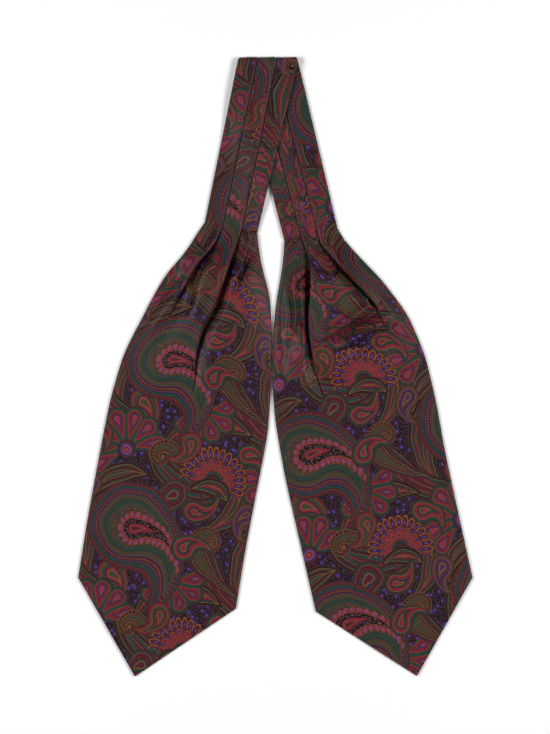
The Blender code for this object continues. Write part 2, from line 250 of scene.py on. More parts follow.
RIGHT = Half(
    name="right",
    side=1,
    neck=(34.4, 128.2),
    lean=13.0,
    outline=table(
        "along outer inner",
        (0, 27.0, 26.0), (10, 30.0, 29.0), (25, 37.8, 34.2), (65, 60.5, 50.2),
        (105, 76.0, 62.2), (150, 82.2, 71.4), (175, 82.4, 74.3), (240, 79.9, 77.0),
        (359.2, 78.4, 77.2),
    ),
    corner_inner=357.2,
    tip=(440.2, -4.4),
    pleats=[
        table(
            "along offset lip trough",
            (0, -7.8, 1.0, 0.0), (9, -8.2, 1.2, 0.5), (23, -15.0, 1.7, 1.6),
            (40, -23.7, 2.1, 2.8), (55, -32.4, 1.9, 2.6), (70, -41.0, 1.4, 1.8),
            (84, -47.5, 0.8, 1.0), (104, -50.0, 0.0, 0.0), (360, -36.1, 0.0, 0.0),
        ),
        table(
            "along offset lip trough",
            (0, 8.7, 1.0, 0.0), (11, 7.0, 1.4, 0.8), (22, 6.0, 1.9, 1.6),
            (40, 8.8, 2.1, 2.8), (58, 13.5, 2.0, 3.0), (78, 19.6, 1.7, 2.6),
            (98, 22.9, 1.2, 2.0), (125, 24.6, 0.8, 1.2), (148, 22.5, 0.3, 0.5),
            (168, 21.0, 0.0, 0.0), (360, 31.9, 0.0, 0.0),
        ),
    ],
    folds=[
        Fold(-1.9, 5.5, [(10, 21.4), (25, 23.7), (48, 29.6), (70, 31), (84, 35), (112, 49)]),
        Fold(1.2, 3.6, [(30, 16), (60, 22.0), (84, 25.5), (110, 31), (134, 38)]),
        Fold(-2.2, 5.0, [(106, -62), (112, -44), (117, -28), (121, -10)]),
        Fold(-1.2, 7.0, [(112, 30), (134, 26), (148, 12), (152, -8)]),
        Fold(-3.6, 3.2, [(6, 21.5), (22, 24.0), (48, 30.0), (70, 32.5), (92, 39)]),
        Fold(3.0, 2.6, [(26, 16.0), (60, 22.5), (84, 26.5), (114, 32)]),
        Fold(-1.2, 2.6, [(11, 20), (14, 12), (16, 8)]),
        Fold(-2.4, 1.8, [(2, -38), (6, -26), (5, -12)]),
        Fold(3.0, 3.6, [(76, -44), (80, -38), (87, -22), (95, -3), (101, 14)]),
        Fold(-4.4, 2.6, [(80, -53), (87, -46), (94, -27), (101, -6), (107, 13)]),
        Fold(2.4, 3.6, [(92, -58), (100, -44), (107, -22), (113, 0)]),
        Fold(0.8, 7.0, [(20, -2), (50, -8), (90, -14)]),
        Fold(-2.2, 7.0, [(8, 22), (40, 38), (80, 50), (130, 58)]),
    ],
    fold_shares=(0.405, 0.70),
    print_place=(26.0, 96.0),
)


def through(rows, column, along):
    """The smooth curve through one column of a table, read at any distance along."""
    x = np.array([row.along for row in rows], float)
    y = np.array([getattr(row, column) for row in rows], float)
    step = np.diff(y) / np.diff(x)
    slope = np.empty_like(y)
    slope[0], slope[-1] = step[0], step[-1]
    before, after = step[:-1], step[1:]
    total = np.where(before + after == 0, 1.0, before + after)
    slope[1:-1] = np.where(before * after > 0, 2 * before * after / total, 0.0)
    along = np.clip(along, x[0], x[-1])
    i = np.clip(np.searchsorted(x, along, side="right") - 1, 0, len(x) - 2)
    width = x[i + 1] - x[i]
    u = (along - x[i]) / width
    start = (1 + 2 * u) * (1 - u) ** 2 * y[i] + u * (1 - u) ** 2 * width * slope[i]
    end = u * u * (3 - 2 * u) * y[i + 1] - u * u * (1 - u) * width * slope[i + 1]
    return start + end


def smooth_step(x):
    x = np.clip(x, 0.0, 1.0)
    return x * x * (3 - 2 * x)


def edges(half, along):
    """Offsets of a blade's outer and inner edges."""
    outer = -through(half.outline, "outer", along)
    inner = through(half.outline, "inner", along)
    return outer, inner


def fold_height(fold, along, offset):
    """A soft ridge or trough round a path, fading out at both of its ends."""
    path = np.array(fold.path, float)
    lengths = np.linalg.norm(np.diff(path, axis=0), axis=1)
    total = lengths.sum()
    nearest = np.full(np.shape(along), 1e9)
    share = np.zeros(np.shape(along))
    done = 0.0
    for (a0, b0), (a1, b1), length in zip(path[:-1], path[1:], lengths):
        da, db = a1 - a0, b1 - b0
        u = np.clip(((along - a0) * da + (offset - b0) * db) / length**2, 0, 1)
        distance = np.hypot(along - a0 - u * da, offset - b0 - u * db)
        closer = distance < nearest
        nearest = np.where(closer, distance, nearest)
        share = np.where(closer, (done + u * length) / total, share)
        done += length
    fade = np.sqrt(np.clip(4 * share * (1 - share), 0, 1))
    return fold.rise * fade * np.exp(-((nearest / fold.spread) ** 2))


def ripple(along, offset, side):
    """The slight unevenness of cloth that lies on a flat surface."""
    waves = np.sin(along / RIPPLE_LONG[0] + offset / RIPPLE_LONG[1] + side)
    waves = waves + np.sin(along / RIPPLE_SHORT[0] - offset / RIPPLE_SHORT[1] + 2.0 * side)
    return RIPPLE_HEIGHT * waves * smooth_step((along - RIPPLE_START) / RIPPLE_FADE)


def panel_top(half, along, offset, stripe):
    """Top of a front panel at points of one stripe, before its edges roll over."""
    outer, inner = edges(half, along)
    across = (2 * offset - outer - inner) / (inner - outer)
    arch = 1 - np.abs(np.clip(across, -1, 1)) ** ARCH_POWER
    gain = 1 + (RIDGE_GAIN - 1) * smooth_step(along / RIDGE_GAIN_REACH)
    rise = gain * through(SWELL, "height", along) * arch
    rise = rise + ripple(along, offset, half.side) * arch
    for fold in half.folds:
        rise = rise + FOLD_GAIN * fold_height(fold, along, offset) * smooth_step(4 * arch)
    lips = np.zeros(np.shape(along))
    for number, pleat in enumerate(half.pleats):
        beyond = offset - through(pleat, "offset", along)
        if stripe > number:
            trough = np.maximum(through(pleat, "trough", along), 0)
            beyond = np.maximum(beyond, 0)
            rise = rise - trough * np.exp(-((beyond / TROUGH_SPREAD) ** 2))
            slot = np.clip(1 - beyond / SLOT_SPREAD, 0, 1) ** SLOT_POWER
            rise = rise - trough * SLOT_DEPTH * slot
        else:
            ramp = np.clip(1 + beyond / PLEAT_RAMP_WIDTH, 0, 1) ** 2
            lips = lips + np.maximum(through(pleat, "lip", along), 0) * ramp
    edge_ramp = np.clip(1 + (offset - inner) / PLEAT_RAMP_WIDTH, 0, 1) ** 2
    lips = lips + PLEAT_STEP * edge_ramp * smooth_step(1 - along / EDGE_LIP_REACH)
    dip = SEAM_DIP * np.exp(-((along / SEAM_DIP_LENGTH) ** 2)) * (stripe == 2)
    return FLAT_TOP + np.maximum(rise, -LOWEST_DIP) + lips - dip


def row_frame(half, along, offset):
    """X and Y, in the whole cravat's frame, of a place on a blade."""
    lean = half.side * math.radians(half.lean)
    x, y = -half.side * offset, -along
    return (
        half.neck[0] + x * math.cos(lean) - y * math.sin(lean),
        half.neck[1] + x * math.sin(lean) + y * math.cos(lean),
    )


def rolled(top, distance, reach, low):
    """A height that falls round a quarter turn to low at a panel's edge."""
    share = np.clip(distance / reach, 0, 1)
    return low + (top - low) * np.sqrt(1 - (1 - share) ** 2)


def roll_places(reach):
    """Distances in from an edge for the points of a quarter turn, from the edge on."""
    turn = np.linspace(0, math.pi / 2, ROLL_STEPS + 1)[:-1]
    return reach * (1 - np.cos(turn))


def bottom_reach(half, offset):
    """Distance along at which a line at this offset meets the pointed end."""
    corner = half.outline[-1]
    across = [-corner.outer, half.tip[1], corner.inner]
    return np.interp(offset, across, [corner.along, half.tip[0], half.corner_inner])


def from_edge(half, along, offset):
    """Distance in from the nearest edge of a blade."""
    outer, inner = edges(half, along)
    beside = np.minimum(offset - outer, inner - offset)
    return np.minimum(beside, bottom_reach(half, offset) - along)


def bent_to_point(half, stations, offset):
    """Along and offset of a grid whose lower rows bend into the pointed end. The column
    nearest to the tip runs to it."""
    last = stations[-1]
    bend = np.clip((stations - GATHER_LENGTH) / (last - GATHER_LENGTH), 0, 1) ** END_BEND_POWER
    middle = np.argmin(np.abs(offset[-1] - half.tip[1]))
    offset = offset.copy()
    offset[:, middle] += (half.tip[1] - offset[-1, middle]) * bend
    reach = bottom_reach(half, offset[-1]) - last
    return stations[:, None] + bend[:, None] * reach, offset


def blade_stations():
    """Rows of a front panel: close at the seam and through the gathers, and at its end."""
    fine = np.linspace(FINE_FROM, FINE_LENGTH, FINE_ROWS)
    coarse = np.linspace(FINE_LENGTH, CORNER_LENGTH - EDGE_ROLL, COARSE_ROWS)[1:]
    end = CORNER_LENGTH - roll_places(EDGE_ROLL)[::-1]
    return np.concatenate([SEAM_ROWS, fine, coarse, end])


def blade_front_grid(half):
    """Along, offset and height for each point of a front panel, and its place on the flat
    cloth, as grids of rows and columns."""
    stations = blade_stations()
    outer, inner = edges(half, stations)
    creases = [through(pleat, "offset", stations) for pleat in half.pleats]
    steps = [
        panel_top(half, stations, crease, k) - panel_top(half, stations, crease, k + 1)
        for k, crease in enumerate(creases)
    ]
    hidden = np.maximum(CLOTH_WIDTH - (inner - outer), 0)
    hidden = hidden * smooth_step((LAST_PLEAT_END - stations) / LAST_PLEAT_FADE)
    first = 0.5 * smooth_step((FIRST_PLEAT_END - stations) / FIRST_PLEAT_FADE)
    jumps = [hidden * first, hidden * (1 - first)]
    scale = (CLOTH_WIDTH - hidden) / (inner - outer)

    spans = [TUCK_HALF_WIDTH * (1 + TUCK_GROWTH * step) for step in steps]
    starts = [outer + EDGE_ROLL, creases[0] + spans[0], creases[1] + spans[1]]
    ends = [creases[0] - spans[0], creases[1] - spans[1], inner - EDGE_ROLL]
    counts = (OUTER_COLUMNS, MIDDLE_COLUMNS, INNER_COLUMNS)
    columns = []

    def add(stripe, offset, hidden_so_far, height=None, flat=None):
        flat = offset if flat is None else flat
        columns.append((stripe, offset, height, (flat - outer) * scale + hidden_so_far))

    for place in roll_places(EDGE_ROLL):
        add(0, outer + place, 0.0)
    passed = np.zeros(len(stations))
    for stripe in range(3):
        for share in np.linspace(0, 1, counts[stripe]):
            add(stripe, starts[stripe] + (ends[stripe] - starts[stripe]) * share, passed)
        if stripe == 2:
            break
        crease, step = creases[stripe], steps[stripe]
        low = panel_top(half, stations, crease, stripe + 1)
        folded = smooth_step(step / TUCK_FULL_STEP)
        for k, point in enumerate(TUCK[1:-1], 1):
            share = k / (len(TUCK) - 1)
            flat = spans[stripe] * (2 * share - 1)
            beside = spans[stripe] * point.beside / TUCK_HALF_WIDTH
            level = (1 - share) * (1 - folded) + point.height * folded
            level = low + step * level - GROOVE_DEPTH * point.groove * folded
            level = np.maximum(level, LOWEST_LEVEL)
            tucked = crease + flat + (beside - flat) * folded
            add(stripe, tucked, passed + jumps[stripe] * share, level, crease + flat)
        passed = passed + jumps[stripe]
    for place in roll_places(EDGE_ROLL)[::-1]:
        add(2, inner - place, passed)

    stripes, offsets, heights, widths = zip(*columns)
    along, offset = bent_to_point(half, stations, np.stack(offsets, axis=1))
    top = np.empty_like(along)
    for j, stripe in enumerate(stripes):
        top[:, j] = panel_top(half, along[:, j], offset[:, j], stripe)
        if heights[j] is not None:
            pleated = stations < LAST_PLEAT_END
            top[pleated, j] = heights[j][pleated]
    top = rolled(top, from_edge(half, along, offset), EDGE_ROLL, EDGE_SEAM_HEIGHT)
    return along, offset, top, np.stack(widths, axis=1)


def lengths_along(points):
    """Distance down each column of a grid of points, from its first row."""
    steps = np.linalg.norm(np.diff(points, axis=0), axis=2)
    return np.concatenate([np.zeros((1, points.shape[1])), np.cumsum(steps, axis=0)])


def print_map(half, width, down):
    """Places on the print for places on the flat cloth. Both halves' prints stand the same
    way up and the same way round."""
    x = -half.side * width + half.print_place[0]
    return np.stack([x * MM, (half.print_place[1] - down) * MM], axis=2)


def shell(name, points, places, wound, tube=False):
    """A thin closed shell behind a grid of points, in millimetres. wound is 1 where a step
    across and a step down wind round the outward direction, and -1 where they wind against
    it. places has one more column than points on a tube, where the map's two ends meet."""
    rows, columns = points.shape[:2]
    ahead = np.roll(points, -1, axis=1)
    behind = np.roll(points, 1, axis=1)
    if not tube:
        ahead[:, -1] = points[:, -1]
        behind[:, 0] = points[:, 0]
    outward = np.cross(ahead - behind, np.gradient(points, axis=0)) * wound
    outward /= np.maximum(np.linalg.norm(outward, axis=2, keepdims=True), 1e-9)
    inside = points - outward * CLOTH_THICKNESS
    vertices = np.concatenate([points.reshape(-1, 3), inside.reshape(-1, 3)]) * MM

    corner = np.arange(2 * rows * (columns + tube)).reshape(2, rows, -1)
    front, back = corner
    faces = [
        [front[:-1, :-1], front[:-1, 1:], front[1:, 1:], front[1:, :-1]],
        [back[1:, :-1], back[1:, 1:], back[:-1, 1:], back[:-1, :-1]],
        [front[0, 1:], front[0, :-1], back[0, :-1], back[0, 1:]],
        [front[-1, :-1], front[-1, 1:], back[-1, 1:], back[-1, :-1]],
    ]
    if not tube:
        faces += [
            [front[:-1, 0], front[1:, 0], back[1:, 0], back[:-1, 0]],
            [front[1:, -1], front[:-1, -1], back[:-1, -1], back[1:, -1]],
        ]
    faces = np.concatenate([np.stack(face, axis=-1).reshape(-1, 4) for face in faces])
    side, r, c = np.unravel_index(faces[:, ::wound], corner.shape)
    index = side * rows * columns + r * columns + c % columns

    mesh = bpy.data.meshes.new(name)
    mesh.from_pydata(vertices.tolist(), [], index.tolist())
    bake = bake_map(points, tube)
    for layer, values in (
        ("Cloth", places[r, c]),
        ("OFBake", np.where(side[:, :, None] == 0, bake[0][r, c], bake[1][r, c])),
    ):
        uv = mesh.uv_layers.new(name=layer)
        uv.data.foreach_set("uv", values.reshape(-1).astype(np.float32))
    mesh.shade_smooth()
    mesh.set_sharp_from_angle(angle=math.radians(SHARP_ANGLE))
    mesh.validate()
    return linked(mesh, SILK)


def linked(mesh, material):
    """An object of a mesh, in the scene."""
    mesh.materials.append(material)
    piece = bpy.data.objects.new(mesh.name, mesh)
    bpy.context.scene.collection.objects.link(piece)
    return piece


def bake_map(points, tube):
    """Flat map of a shell with nothing over anything else: its outer side in the lower part,
    and its inner side in a strip over it."""
    loop = np.concatenate([points, points[:, :1]], axis=1) if tube else points
    across = np.linalg.norm(np.diff(loop, axis=1), axis=2).mean(axis=0)
    down = np.linalg.norm(np.diff(loop, axis=0), axis=2).mean(axis=1)
    across = np.concatenate([[0], np.cumsum(across)]) / across.sum()
    down = np.concatenate([[0], np.cumsum(down)]) / down.sum()
    x, y = np.meshgrid(across, down)
    x = MAP_MARGIN + MAP_WIDTH * x
    outer = np.stack([x, MAP_MARGIN + MAP_OUTER * y], axis=2)
    inner = np.stack([x, MAP_INNER_FROM + MAP_INNER * y], axis=2)
    return outer, inner


def blade_front(half):
    along, offset, top, width = blade_front_grid(half)
    x, y = row_frame(half, along, offset)
    points = np.stack([x, y, top], axis=2)
    start = np.searchsorted(blade_stations(), STRAIGHT_FROM)
    down = lengths_along(points)
    down = down - down[start] + along[start]
    down[start:] = along[start:]
    places = print_map(half, width, down)
    piece = shell(f"{half.name}_blade_front_silk", points, places, half.side)
    dress(piece, f"{half.name}_blade_front")
    return down[0], offset[0]


def blade_back(half):
    """The flat back panel. Its edges turn up to meet the front's."""
    roll = roll_places(BACK_ROLL)
    stations = np.linspace(0, CORNER_LENGTH - BACK_ROLL, BACK_ROWS)
    stations = np.concatenate([stations, CORNER_LENGTH - roll[::-1]])
    outer, inner = edges(half, stations)
    middle = np.linspace(outer + BACK_ROLL, inner - BACK_ROLL, BACK_COLUMNS)
    offset = np.concatenate([[outer + r for r in roll], middle, [inner - r for r in roll[::-1]]])
    along, offset = bent_to_point(half, stations, offset.T)
    under = rolled(0.0, from_edge(half, along, offset), BACK_ROLL, BACK_EDGE_HEIGHT)
    x, y = row_frame(half, along, offset)
    points = np.stack([x, y, under], axis=2)
    places = print_map(half, CLOTH_WIDTH / 2 - offset, along)
    piece = shell(f"{half.name}_blade_back_silk", points, places, -half.side)
    dress(piece, f"{half.name}_blade_back")


def band_columns(half, seam_width, seam_down):
    """Columns round a neckband half, from the middle of its underside: each one's shares
    across at the neck seam and at the nape fold, its nudge sideways, its height, the height
    of the top there, its place on the flat cloth, and its nudge past the nape fold. seam_width
    and seam_down are the blade's, as functions of the share across at the seam."""
    outer, inner = edges(half, 0.0)
    width = inner - outer
    seam = [0.0] + [(pleat[0].offset - outer) / width for pleat in half.pleats] + [1.0]
    fold = [0.0, *half.fold_shares, 1.0]
    low_round, high_round = BAND_LOW / 2, BAND_LIP / 2
    columns = []

    def add(seam_share, fold_share, nudge, height, top, cloth, flat=None):
        flat = nudge if flat is None else flat
        columns.append((seam_share, fold_share, nudge, height, top, cloth, flat))

    turn = np.linspace(-math.pi / 2, math.pi / 2, 2 * ROLL_STEPS + 1)[1:-1]
    for share in np.linspace(0.5, 0, BAND_UNDERSIDE_COLUMNS):
        add(share, share, low_round * (1 - 2 * share), 0.0, BAND_LOW, -share * width)
    for angle in turn:
        nudge = low_round * (1 - math.cos(angle))
        add(0.0, 0.0, nudge, low_round * (1 + math.sin(angle)), BAND_LOW, nudge)
    nudges = [low_round, TUCK_HALF_WIDTH, TUCK_HALF_WIDTH]
    ends = [-TUCK_HALF_WIDTH, -TUCK_HALF_WIDTH, -high_round]
    for stripe in range(3):
        for share in np.linspace(0, 1, BAND_STRIPE_COLUMNS):
            places = [s[stripe] + (s[stripe + 1] - s[stripe]) * share for s in (seam, fold)]
            nudge = nudges[stripe] + (ends[stripe] - nudges[stripe]) * share
            height = BAND_LOW + PLEAT_STEP * share**2
            cloth = seam_width(places[0] + nudge / width, stripe)
            add(*places, nudge, height, height, cloth)
        if stripe == 2:
            break
        begin = columns[-1][5]
        finish = seam_width(seam[stripe + 1] + TUCK_HALF_WIDTH / width, stripe + 1)
        for k, point in enumerate(TUCK[1:-1], 1):
            share = k / (len(TUCK) - 1)
            height = BAND_LOW + PLEAT_STEP * point.height - GROOVE_DEPTH * point.groove
            flat = TUCK_HALF_WIDTH * (2 * share - 1)
            cloth = begin + (finish - begin) * share
            add(seam[stripe + 1], fold[stripe + 1], point.beside, height, height, cloth, flat)
    for angle in turn[::-1]:
        nudge = -high_round * (1 - math.cos(angle))
        height = high_round * (1 + math.sin(angle))
        add(1.0, 1.0, nudge, height, BAND_LIP, CLOTH_WIDTH + nudge)
    for share in np.linspace(1, 0.5, BAND_UNDERSIDE_COLUMNS)[:-1]:
        nudge = high_round * (1 - 2 * share)
        add(share, share, nudge, 0.0, BAND_LIP, CLOTH_WIDTH + (1 - share) * width)
    columns = np.array(columns)
    return columns, seam_down(columns[:, 0])


def band_plan(half, shares, seam_share, fold_share, nudge):
    """X and Y of a neckband half. Share 0 is the neck seam and share 1 the nape fold's axis."""
    outer, inner = edges(half, 0.0)

    def at_seam(share):
        return np.stack(row_frame(half, -SEAM_SPLIT, outer + (inner - outer) * share), axis=-1)

    def at_fold(share):
        across = share if half.side < 0 else 1 - share
        end_y = FOLD_AXIS_Y if half.side < 0 else FOLD_AXIS_Y - SEAM_SPLIT
        return np.stack([FOLD_CENTRE_X + FOLD_WIDTH * (across - 0.5), end_y + 0 * share], axis=-1)

    up = shares[:, None, None]
    zero, one = np.zeros(1), np.ones(1)
    start = at_seam(zero) * (1 - up) + at_fold(zero) * up
    finish = at_seam(one) * (1 - up) + at_fold(one) * up
    direction = (finish - start) / np.linalg.norm(finish - start, axis=2, keepdims=True)
    place = at_seam(seam_share) * (1 - up) + at_fold(fold_share) * up + direction * nudge[:, None]
    return place[:, :, 0], place[:, :, 1]


def left_band_base(x, y, shares):
    """Underside height of the left neckband half: it lies on the right half, drapes off that
    half's outer outline, and comes down to the surface before the neck seam."""
    seam_x, seam_y = row_frame(RIGHT, 0.0, RIGHT.outline[0].inner)
    fold_x = FOLD_CENTRE_X - FOLD_WIDTH / 2
    run_x, run_y = seam_x - fold_x, seam_y - FOLD_AXIS_Y
    beside = ((y - FOLD_AXIS_Y) * run_x - (x - fold_x) * run_y) / math.hypot(run_x, run_y)
    off_edge = smooth_step((-beside - DRAPE_CLEARANCE) / DRAPE_REACH)
    lying = smooth_step(shares[:, None] / COME_DOWN_SHARE)
    near_fold = smooth_step(1 + (shares[:, None] - 1) / FLAT_NEAR_FOLD_SHARE)
    return (BAND_LIP + FOLD_GAP) * lying * (1 - off_edge * (1 - near_fold))


def neckband(half, seam):
    """A pleated neckband half as a flattened tube. The left one goes on round the nape fold."""
    down, offset = seam
    outer, inner = edges(half, 0.0)
    share = (offset - outer) / (inner - outer)
    jump = (CLOTH_WIDTH - (inner - outer)) / 2

    def seam_width(place, stripe):
        return place * (inner - outer) + jump * stripe

    def seam_down(place):
        order = np.argsort(share)
        return np.interp(place, share[order], down[order])

    columns, start = band_columns(half, seam_width, seam_down)
    seam_share, fold_share, nudge, height, top, cloth, flat = columns.T
    past_pleats = smooth_step((cloth - CLOTH_WIDTH + SEAM_SHIFT_WIDTH) / SEAM_SHIFT_FADE)
    start = start - SEAM_PRINT_SHIFT * past_pleats
    rest = np.linspace(BAND_FROM_SHARE, 1, BAND_ROWS)
    shares = np.concatenate([BAND_SEAM_SHARES, rest])
    x, y = band_plan(half, shares, seam_share, fold_share, nudge)
    base = left_band_base(x, y, shares) if half.side < 0 else np.zeros_like(x)
    run = shares[:, None] * (FOLD_AXIS_Y - half.neck[1])
    dip = SEAM_DIP * np.exp(-((run / SEAM_DIP_LENGTH) ** 2)) * (height / BAND_LOW) * past_pleats
    points = np.stack([x, y, base + height - dip], axis=2)
    if half.side < 0:
        rows = [points]
        ratio = height / top
        for turn in np.linspace(0, math.pi, TURN_ROWS + 1)[1:]:
            settled = smooth_step(np.array(turn / math.pi))
            level = ratio * (top + (BAND_LIP - top) * settled)
            radius = FOLD_GAP / 2 + level
            inset = FOLD_CORNER_INSET * math.sin(turn) * (1 - 2 * fold_share)
            fold_x = x[-1] + inset + (flat - nudge) * settled
            fold_y = FOLD_AXIS_Y + radius * math.sin(turn)
            fold_z = FOLD_RADIUS + radius * math.cos(turn)
            rows.append(np.stack([fold_x, fold_y, fold_z], axis=1)[None])
        points = np.concatenate(rows)
    lengths = lengths_along(points)
    cloth = np.append(cloth, CLOTH_WIDTH + 0.5 * (inner - outer))
    places = print_map(
        half,
        np.broadcast_to(cloth, (len(points), len(cloth))),
        np.concatenate([start - lengths, (start - lengths)[:, :1]], axis=1),
    )
    piece = shell(f"neckband_{half.name}_silk", points, places, -half.side, tube=True)
    dress(piece, f"neckband_{half.name}")
    length = LEFT_BAND_CUT_LENGTH if half.side < 0 else RIGHT_BAND_CUT_LENGTH


def dress(piece, node):
    """Puts a piece of cloth in its solid's place."""
    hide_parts(node)
    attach(piece, "root")


def colour(red, green, blue):
    """A colour given in display values from 0 to 255, for a node's socket."""
    shares = [value / 255 for value in (red, green, blue)]
    linear = [s / 12.92 if s <= 0.04045 else ((s + 0.055) / 1.055) ** 2.4 for s in shares]
    return (*linear, 1.0)


INK = colour(8, 5, 9)
AUBERGINE = colour(30, 17, 38)
WINE = colour(70, 20, 33)
CRIMSON = colour(113, 30, 43)
RASPBERRY = colour(129, 36, 51)
TEAL = colour(20, 56, 48)
GREEN = colour(33, 47, 38)
OLIVE = colour(51, 55, 38)
BRONZE = colour(84, 50, 38)
GOLD = colour(118, 74, 36)
ORANGE = colour(134, 64, 38)
VIOLET = colour(74, 57, 140)
PLUM = colour(56, 36, 78)


def operator(operation, swapped=False):
    """A method that works out a new value from its own value and another one or a number."""

    def method(value, other):
        pair = (other, value) if swapped else (value, other)
        return maths(operation, *pair)

    return method


class Value:
    """A number that a material works out at each point, from maths nodes."""

    def __init__(self, socket):
        self.socket = socket

    def __abs__(self):
        return maths("ABSOLUTE", self)

    __add__ = operator("ADD")
    __radd__ = operator("ADD", swapped=True)
    __sub__ = operator("SUBTRACT")
    __rsub__ = operator("SUBTRACT", swapped=True)
    __mul__ = operator("MULTIPLY")
    __truediv__ = operator("DIVIDE")
    __lt__ = operator("LESS_THAN")
    __gt__ = operator("GREATER_THAN")


def feed(socket, value):
    """Puts a number, a colour, a value or another node's socket into a socket."""
    if isinstance(value, Value):
        value = value.socket
    if isinstance(value, bpy.types.NodeSocket):
        socket.id_data.links.new(value, socket)
    else:
        socket.default_value = value


def node(tree, kind, inputs=(), **settings):
    """A new node. inputs pairs each socket's name or number with what goes into it."""
    made = tree.nodes.new(f"ShaderNode{kind}")
    for name, value in settings.items():
        setattr(made, name, value)
    for name, value in dict(inputs).items():
        feed(made.inputs[name], value)
    return made


def maths(operation, *inputs):
    tree = next(value.socket.id_data for value in inputs if isinstance(value, Value))
    return Value(node(tree, "Math", enumerate(inputs), operation=operation).outputs[0])


def vector_maths(operation, *inputs):
    made = node(inputs[0].id_data, "VectorMath", enumerate(inputs), operation=operation)
    return made.outputs[0]


def sine(x):
    return maths("SINE", x)


def cosine(x):
    return maths("COSINE", x)


def angle_of(x, y):
    return maths("ARCTAN2", y, x)


def length_of(x, y):
    return maths("SQRT", x * x + y * y)


def centred_repeat(x, pitch):
    """x measured from the middle of the repeat that it falls in."""
    return maths("WRAP", x, pitch / 2, -pitch / 2)


def pick(condition, if_true, if_false):
    """One of two numbers, by a condition that is 1 or 0."""
    return if_false + condition * (if_true - if_false)


def parts_of(vector):
    parts = node(vector.id_data, "SeparateXYZ", {0: vector})
    return Value(parts.outputs[0]), Value(parts.outputs[1])


def noise(cloth, spacing, detail):
    """Smooth noise over the cloth, as a node."""
    inputs = {"Vector": cloth, "Scale": 1 / spacing, "Detail": detail}
    return node(cloth.id_data, "TexNoise", inputs, noise_dimensions="2D")


def cells(cloth, spacing, randomness):
    """Scattered cells: a chance for each one, and the distance from its middle."""
    inputs = {"Vector": cloth, "Scale": 1 / spacing, "Randomness": randomness}
    made = node(cloth.id_data, "TexVoronoi", inputs, voronoi_dimensions="2D")
    return parts_of(made.outputs["Color"])[0], Value(made.outputs["Distance"]) * spacing


def place(cloth, centre, turn):
    """x and y in a motif's own frame, in millimetres, in every repeat of the print."""
    high = (REPEAT_WIDTH / 2, REPEAT_LENGTH / 2, 1)
    low = [-side for side in high]
    wrapped = vector_maths("WRAP", vector_maths("SUBTRACT", cloth, (*centre, 0)), high, low)
    inputs = {"Vector": wrapped, "Angle": -math.radians(turn)}
    return parts_of(node(cloth.id_data, "VectorRotate", inputs, rotation_type="Z_AXIS").outputs[0])


def rings(depth, reach, bands):
    """A colour from rings of constant colour. bands are pairs of a depth and the colour from
    there on, and reach is the depth at the ramp's end."""
    ramp = node(depth.socket.id_data, "ValToRGB", {0: depth / reach})
    ramp.color_ramp.interpolation = "CONSTANT"
    elements = ramp.color_ramp.elements
    elements[0].color = bands[0][1]
    elements[1].position = bands[1][0] / reach
    elements[1].color = bands[1][1]
    for start, shade in bands[2:]:
        elements.new(start / reach).color = shade
    return ramp.outputs["Color"]


def lay(shade, *layers):
    """Colours laid one over another. layers are pairs of a colour, and a mask that is 1 where
    it covers what is below."""
    for over, mask in layers:
        inputs = {0: mask, 6: shade, 7: over}
        shade = node(mask.socket.id_data, "Mix", inputs, data_type="RGBA").outputs[2]
    return shade


def drop(x, y, radius, length, tip, curl):
    """A boteh: a round body at the centre and a tail to a tip, curled round it. Returns the
    distance outside its outline, and the distance along that outline from where the tail
    leaves the body."""
    reach = length_of(x, y)
    angle = angle_of(x, y) + reach * curl
    x = reach * cosine(angle)
    y = abs(reach * sine(angle))
    slope = (radius - tip) / length
    square = math.sqrt(1 - slope**2)
    flank = y * square + x * slope - radius
    run = x * square - y * slope
    body = reach - radius
    end = length_of(x - length, y) - tip
    outside = pick(run < 0, body, pick(run > square * length, end, flank))
    turn = (angle_of(x, y) - math.acos(slope)) * -radius
    return outside, pick(run < 0, turn, run)


def beads(along, across, pitch, size):
    """1 inside each of a row of round beads."""
    return length_of(centred_repeat(along, pitch), across) < size


def specks(cloth, spacing):
    """Small dots of mixed colours: their colour, and the distance from the nearest one."""
    chance, near = cells(cloth, spacing, 0.9)
    shade = rings(chance, 1.0, [
        (0, WINE), (0.25, BRONZE), (0.42, PLUM), (0.6, CRIMSON), (0.78, OLIVE), (0.93, GOLD),
    ])
    return shade, near


def ground(silk):
    """Dark ground strewn with violet florets and fine specks."""
    _, distance = cells(silk.cloth, FLORET_SPACING, 0.85)
    floret = rings(distance, 6.0, [(0, BRONZE), (0.35, VIOLET), (1.3, INK), (1.8, PLUM)])
    layers = (silk.speck, silk.near < 0.5), (INK, silk.near > 1.35), (floret, distance < 2.2)
    return lay(AUBERGINE, *layers)


